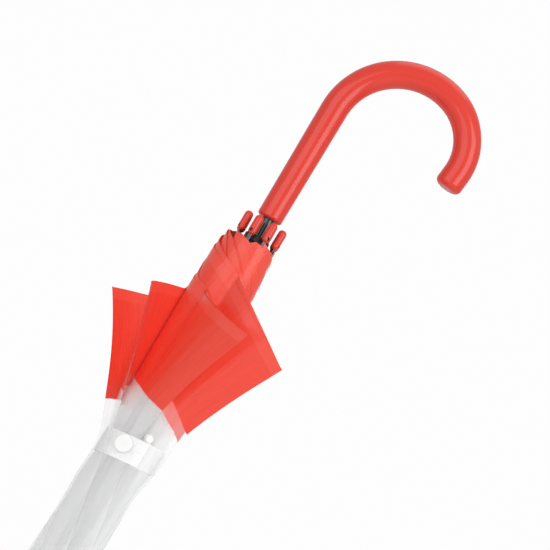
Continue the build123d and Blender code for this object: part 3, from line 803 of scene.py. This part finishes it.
def fold_outline(number, share, inside):
    """One fold at one level: angle, radius and share of the way from the rib, out and back again."""
    corner_angle, corner_radius, _, lateness = FOLD_CORNERS[number]
    start = RIB_ANGLES[number - 1]
    hem_turn = (math.radians(corner_angle) - start) % (2 * math.pi)
    usual_turn = math.radians(FOLD_TURN[-1][1])
    turn = math.radians(float(profile(FOLD_TURN, share)))
    turn += (hem_turn - usual_turn) * float(smooth((share - 0.7) / 0.3))
    outside = float(profile(BUNDLE_RADIUS, share)) * MM
    rise = max(0.0, (share - WIND_START_V) / (1 - WIND_START_V)) ** lateness
    corner = outside + (corner_radius * MM - outside) * rise
    power = 1.0 + 0.8 * float(smooth((share - 0.6) / 0.4))

    def layer(angle):
        x = np.clip(angle / turn, 0, 1)
        radius = inside + (outside - inside) * (1 - (1 - x) ** power)
        flare = np.clip((x - FLARE_FROM) / (1 - FLARE_FROM), 0, 1)
        return radius + (corner - outside) * flare**FLARE_POWER

    dense = np.linspace(0, 1, OUTLINE_STEPS)
    out_angle = turn * dense
    out_radius = layer(out_angle)
    out_share = along_share(out_angle, out_radius)
    back_angle = turn + (NEXT_RIB - turn) * dense
    above = layer(back_angle)
    room = np.minimum(above - layer(np.clip(back_angle - NEXT_RIB, 0, None)), LAYER_ROOM)
    under = 0.5 * smooth(dense / 0.10) + 0.5 * smooth((dense - 0.86) / 0.14)
    back_radius = above - under * room
    back_share = along_share(back_angle, back_radius)
    even = np.linspace(0, 1, FOLD_STEPS + 1)
    angle = np.concatenate([
        np.interp(even, out_share, out_angle)[:-1], np.interp(even, back_share, back_angle)[:-1],
    ])
    radius = np.concatenate([
        np.interp(even, out_share, out_radius)[:-1], np.interp(even, back_share, back_radius)[:-1],
    ])
    from_rib = np.concatenate([even[:-1], 1 - even[:-1]])
    return start + angle, radius, from_rib


def hem_dip(number, from_rib, share):
    """How far the film sags between the rib tips, and at the rib whose tip it has slipped down from."""
    half = len(from_rib) // 2
    near = 1 - smooth(from_rib / 0.09)
    loose = np.concatenate([
        np.full(half, float(number == LOOSE_RIB)),
        np.full(half, float(number % RIB_COUNT + 1 == LOOSE_RIB)),
    ])
    return share**4 * (RIB_PEAK * smooth(from_rib / 0.04) + LOOSE_DIP * near * loose)


def closed_row(distance):
    """All eight folds at one distance along the ribs."""
    share = distance / FILM_LENGTH
    point, _, _ = rib_line(distance, False)
    inside = max(point[0][0] + FILM_GAP, NOTCH_RADIUS + 0.6 * MM)
    row = []
    for number in range(1, RIB_COUNT + 1):
        angle, radius, from_rib = fold_outline(number, share, inside)
        drop = (HEM_TOP - RIB_PEAK - FOLD_CORNERS[number][2] * MM) * share**DROP_POWER
        z = point[0][1] - drop * profile(DROP_SHARE[number], from_rib) - hem_dip(number, from_rib, share)
        radius = radius + wrinkle(angle, z, share) * smooth(from_rib / 0.08)
        row.append(on_circle(radius, angle, z))
    return np.concatenate(row)


def open_row(distance):
    """The stretched canopy between the bent ribs at one distance along them."""
    u = np.arange(2 * FOLD_STEPS) / (2 * FOLD_STEPS)
    bow = 4 * u * (1 - u)
    share = distance / FILM_LENGTH
    along = distance * (1 - HEM_SCALLOP * bow * share**3)
    point, _, outward = rib_line(along, True)
    place = point + outward * OPEN_GAP
    flat = math.cos(NEXT_RIB / 2) / np.cos((u - 0.5) * NEXT_RIB)
    radius = place[:, 0] * flat * (1 - PANEL_SAG * bow)
    row = [on_circle(radius, angle + u * NEXT_RIB, place[:, 1]) for angle in RIB_ANGLES]
    return np.concatenate(row)


def apex_rows():
    """The film's hole round the shaft, and its flat part between the top cap and the notch."""
    columns = 2 * FOLD_STEPS * RIB_COUNT
    angle = FIRST_ANGLE + 2 * math.pi * np.arange(columns) / columns
    return [on_circle(np.full(columns, r), angle, APEX_HEIGHT) for r in APEX_RINGS]


def add_film(name, distances, with_apex, material):
    """A part of the canopy between two distances along the ribs, creased at the ribs and the corners."""
    closed = [closed_row(d) for d in distances]
    unfolded = [open_row(d) for d in distances]
    shares = [d / FILM_LENGTH for d in distances]
    if with_apex:
        closed = apex_rows() + closed
        unfolded = apex_rows() + unfolded
        shares = APEX_SHARES + shares
    rows, columns = len(closed), 2 * FOLD_STEPS * RIB_COUNT
    faces = grid_faces(rows, columns, True)
    film = add_piece(name, np.concatenate(closed), faces, material, "stick", np.concatenate(unfolded))
    uv = film.data.uv_layers.new(name="film")
    corners = [
        (float(c + dc) / columns * RIB_COUNT, shares[r + dr])
        for r in range(rows - 1) for c in range(columns) for dc, dr in ((0, 0), (1, 0), (1, 1), (0, 1))
    ]
    uv.data.foreach_set("uv", np.array(corners, np.float32).ravel())
    creases = set()
    for r in range(len(APEX_RINGS) if with_apex else 0, rows):
        creases.update(r * columns + c for c in range(0, columns, FOLD_STEPS))
    mark_sharp(film.data, creases)
    # No shadow: it stands in for the light that real film lets through. The strap's band and tab do the
    # same.
    film.visible_shadow = False
    return film


def add_canopy(materials):
    """The clear panels and the red hem band, which meet where the band starts."""
    panel_rows = np.concatenate([
        np.linspace(FILM_START, FIRST_ROWS_END, 10)[:-1],
        np.linspace(FIRST_ROWS_END, BAND_START, 58),
    ])
    band_rows = np.concatenate([
        np.linspace(BAND_START, FILM_LENGTH - HEM_STRIP, 15)[:-1],
        np.linspace(FILM_LENGTH - HEM_STRIP, FILM_LENGTH, 4),
    ])
    panels = add_film("canopy_panels", panel_rows, True, materials["clear_film"])
    band = add_film("canopy_hem_band", band_rows, False, materials["red_film"])
    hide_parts(*[f"gore_{i}" for i in range(1, RIB_COUNT + 1)])


# ---- strap ----

STRAP_LEAN = 0.10
SLACK_HELD = math.radians(60.0)
SLACK_HEIGHT = 1.2 * MM
SLACK_REACH = 11.5 * MM
SLACK_BULGE = 1.0 * MM
SLACK_PASSES = 6
STRAP_WAVE = 0.15 * MM
STRAP_END_GAP = math.radians(0.6)
STRAP_STEPS = 200
STRAP_LEVELS = 7
EAR_MARGIN = 0.8 * MM
EAR_SIDES = 32
TAB_SWEEP = math.radians(-66.0)
TAB_START = 0.03
TAB_RISE = 0.12
TAB_LIFT = 0.35 * MM
TAB_ROUNDING = 0.55
TAB_STEPS = 44
TAB_LEVELS = 9


def strap_rows(angle, radius):
    """Rows of the band round the bundle, climbing a little towards +X."""
    x = radius * np.cos(angle)
    return [
        np.stack([x, radius * np.sin(angle), z + STRAP_LEAN * x], axis=-1)
        for z in np.linspace(STRAP_LOW.z, STRAP_HIGH.z, STRAP_LEVELS)
    ]


def slack_loop(angle, radius):
    """Where the strap's points lie on the open canopy: its front stays round, its back lies flat."""
    rib = RIB_ANGLES[STRAP_RIB - 1]
    relative = np.unwrap(angle) - rib
    relative = relative - 2 * math.pi * np.round(np.min(relative) / (2 * math.pi))
    slope = math.tan(NEXT_RIB / 2)
    point, _, outward = rib_line((STRAP_MIDDLE.z - RIB_ROOT[1]) / RIB_ALONG[1], True)
    surface = point[0] + outward[0] * OPEN_GAP
    ridge = on_circle(np.array([surface[0]]), np.array([rib]), surface[1])
    local = apply_matrix(opened(f"rib_outer_{STRAP_RIB}").inverted(), ridge)[0]
    top = math.hypot(local[0], local[1]) + SLACK_HEIGHT
    side, depth = radius * math.sin(SLACK_HELD), radius * math.cos(SLACK_HELD)
    reach = side + SLACK_REACH
    corner = [
        (side, depth),
        (reach, depth - (reach - side) * slope),
        (reach + SLACK_BULGE, (depth + top) / 2 - reach * slope * 0.9),
        (reach, top - reach * slope),
        (0.0, top),
    ]
    path = np.array(corner + [(-t, r) for t, r in corner[-2::-1]])
    steps = distance_along(path)
    share = (relative - SLACK_HELD) / (2 * math.pi - 2 * SLACK_HELD)
    loose = (share > 0) & (share < 1)
    t = np.where(loose, np.interp(share * steps[-1], steps, path[:, 0]), radius * np.sin(relative))
    r = np.where(loose, np.interp(share * steps[-1], steps, path[:, 1]), radius * np.cos(relative))
    for _ in range(SLACK_PASSES):
        t[1:-1] = np.where(loose[1:-1], (t[:-2] + 2 * t[1:-1] + t[2:]) / 4, t[1:-1])
        r[1:-1] = np.where(loose[1:-1], (r[:-2] + 2 * r[1:-1] + r[2:]) / 4, r[1:-1])
    return r * math.cos(rib) - t * math.sin(rib), r * math.sin(rib) + t * math.cos(rib)


def add_strap(material):
    """The band round the bundle, open by a hair at the tab's hinge, with its ear and its tab."""
    root = math.atan2(STRAP_HINGE[1], STRAP_HINGE[0])
    angle = root + STRAP_END_GAP + np.linspace(0, 2 * math.pi - 2 * STRAP_END_GAP, STRAP_STEPS)
    radius = STRAP_RADIUS + STRAP_WAVE * np.sin(7 * angle)
    rows = strap_rows(angle, radius)
    x, y = slack_loop(angle, STRAP_RADIUS)
    body = f"rib_outer_{STRAP_RIB}"
    slack = [np.stack([x, y, row[:, 2]], axis=-1) for row in rows]
    unfolded = apply_matrix(opened(body), np.concatenate(slack))
    faces = grid_faces(STRAP_LEVELS, STRAP_STEPS, False)
    strap = add_piece("strap_band", np.concatenate(rows), faces, material, body, unfolded)
    strap.visible_shadow = False
    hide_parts("strap")
    ear = add_strap_ear(material, body)
    add_tab(material, root)


def add_strap_ear(material, body):
    """The small rounded ear on the strap's upper edge that the rivet goes through."""
    low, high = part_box("strap_rivet")
    middle = (low + high) / 2
    centre = math.atan2(middle.y, middle.x)
    reach = (high.z - low.z) / 2 + EAR_MARGIN
    points = [on_circle(STRAP_RADIUS, centre, middle.z)]
    for i in range(EAR_SIDES):
        a = 2 * math.pi * i / EAR_SIDES
        turn = reach * math.cos(a) / STRAP_RADIUS
        points.append(on_circle(STRAP_RADIUS, centre + turn, middle.z + reach * math.sin(a)))
    faces = [(0, 1 + i, 1 + (i + 1) % EAR_SIDES) for i in range(EAR_SIDES)]
    ear = add_piece("strap_ear", np.array(points), faces, material, body)
    return ear


def add_tab(material, root):
    """The strap's free end, folded back over it to the snap, with a rounded end."""
    tab_radius = math.hypot(STRAP_HINGE[0], STRAP_HINGE[1])
    start_radius = STRAP_RADIUS + TAB_LIFT
    half = STRAP_HEIGHT / 2
    rows = []
    for level in np.linspace(-1, 1, TAB_LEVELS):
        rounded = (1 - math.sqrt(1 - level * level * 0.98)) * half * TAB_ROUNDING
        end = TAB_SWEEP + rounded / tab_radius
        angle = root + np.linspace(TAB_START, end, TAB_STEPS)
        lift = smooth((root - angle + TAB_START) / TAB_RISE)
        radius = start_radius + (tab_radius - start_radius) * lift
        x = radius * np.cos(angle)
        z = STRAP_MIDDLE.z + level * half + STRAP_LEAN * x
        rows.append(np.stack([x, radius * np.sin(angle), z], axis=-1))
    faces = grid_faces(TAB_LEVELS, TAB_STEPS, False)
    tab = add_piece("strap_tab_band", np.concatenate(rows), faces, material, "strap_tab")
    tab.visible_shadow = False
    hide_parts("strap_tab")


# ---- build ----

add_camera()
add_world()
add_floor()
add_area_light("key_light", (1.5, -1.7, 1.3), target, 1.5, 22.0, 1.2)
add_area_light("front_light", (-1.2, -1.9, 0.8), target, 2.0, 16.0)
add_area_light("top_light", (0.0, 0.2, 2.6), (0.0, 0.0, 0.4), 1.6, 6.0)
add_area_light("back_light", (0.4, 1.9, 1.2), target, 1.4, 9.0)
bpy.context.scene.view_settings.view_transform = "Standard"
bpy.context.scene.cycles.transparent_max_bounces = 96

open_with_runner = opening_group()
slot_materials = {
    "red_gloss_plastic": red_gloss_plastic(),
    "black_gloss_metal": black_gloss_metal(),
    "black_plastic": black_plastic(),
    "spring_steel": spring_steel(),
    "white_plastic": white_plastic(),
    "clear_film": clear_film(),
    "red_film": red_film(),
}
finish_cad_nodes(slot_materials)

add_canopy(slot_materials)
for rib_number in range(1, RIB_COUNT + 1):
    add_rib(rib_number, slot_materials["black_gloss_metal"])
add_strap(strap_film())
